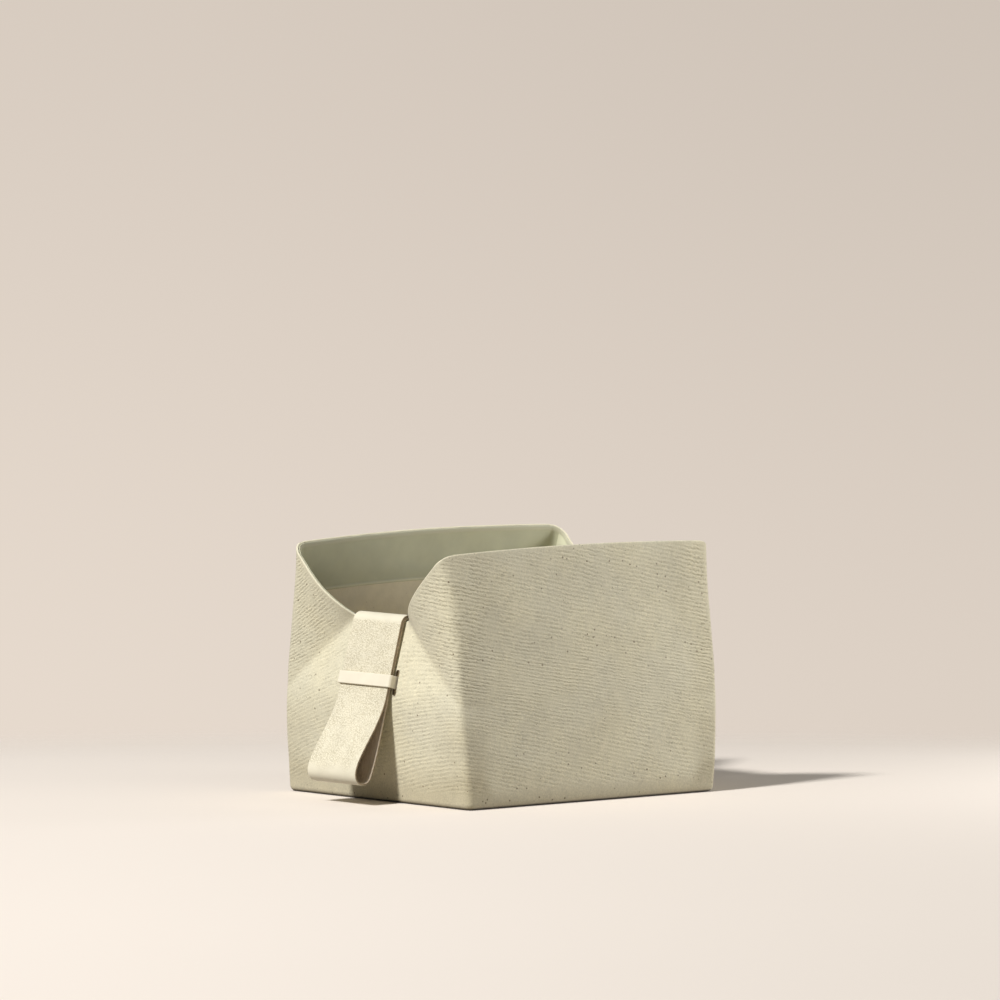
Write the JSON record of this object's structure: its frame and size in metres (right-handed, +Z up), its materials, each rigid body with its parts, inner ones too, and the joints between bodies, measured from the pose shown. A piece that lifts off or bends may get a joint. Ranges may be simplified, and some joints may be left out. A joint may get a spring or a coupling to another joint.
{
  "type": "fabric storage bin",
  "caption": "Open canvas storage bin with a rim that dips at each end, held down there by a folded leather pull strap with a keeper band and a hanging loop.",
  "frame": {"origin": "middle of the base, on the surface that the bin stands on", "axes": "+Z up, +Y along the bin towards its back strap, +X across the bin to its right side; the front strap is at -Y"},
  "size_m": [0.181, 0.2816, 0.1627],
  "materials": {
    "canvas": "matte ribbed canvas with sparse dark flecks",
    "sage_facing": "smooth, faintly sheened lining cloth",
    "binding_tape": "matte twill tape",
    "fibre_board": "matte pressed fibre board",
    "strap_leather": "pale pebbled leather, satin",
    "keeper_leather": "smooth pale leather, satin",
    "thread": "matte sewing thread"
  },
  "bodies": {
    "bin": {"canvas_panel_front": "canvas", "canvas_panel_right": "canvas", "canvas_panel_back": "canvas", "canvas_panel_left": "canvas", "facing_front": "sage_facing", "facing_right": "sage_facing", "facing_back": "sage_facing", "facing_left": "sage_facing", "seam_binding_front_right": "binding_tape", "seam_binding_back_right": "binding_tape", "seam_binding_back_left": "binding_tape", "seam_binding_front_left": "binding_tape", "canvas_base": "canvas", "base_board": "fibre_board", "base_lining": "canvas", "strap_front": "strap_leather", "strap_back": "strap_leather", "strap_stitching_front": "thread", "strap_stitching_back": "thread"},
    "loop_front": {"strap_loop_front": "strap_leather"},
    "loop_back": {"strap_loop_back": "strap_leather"},
    "keeper_front": {"keeper_front": "keeper_leather"},
    "keeper_back": {"keeper_back": "keeper_leather"}
  },
  "joints": [
    {"name": "loop_front_swing", "type": "hinge", "parent": "bin", "child": "loop_front", "pos_m": [0, -0.11849, 0.06912], "axis": [-1, 0, 0], "range_deg": [0, 120]},
    {"name": "loop_back_swing", "type": "hinge", "parent": "bin", "child": "loop_back", "pos_m": [0, 0.11849, 0.06912], "axis": [1, 0, 0], "range_deg": [0, 120]},
    {"name": "keeper_front_slide", "type": "slide", "parent": "bin", "child": "keeper_front", "axis": [0, 0.2588, 0.9659], "range_m": [-0.0032, 0.0032]},
    {"name": "keeper_back_slide", "type": "slide", "parent": "bin", "child": "keeper_back", "axis": [0, -0.2588, 0.9659], "range_m": [-0.0032, 0.0032]}
  ]
}
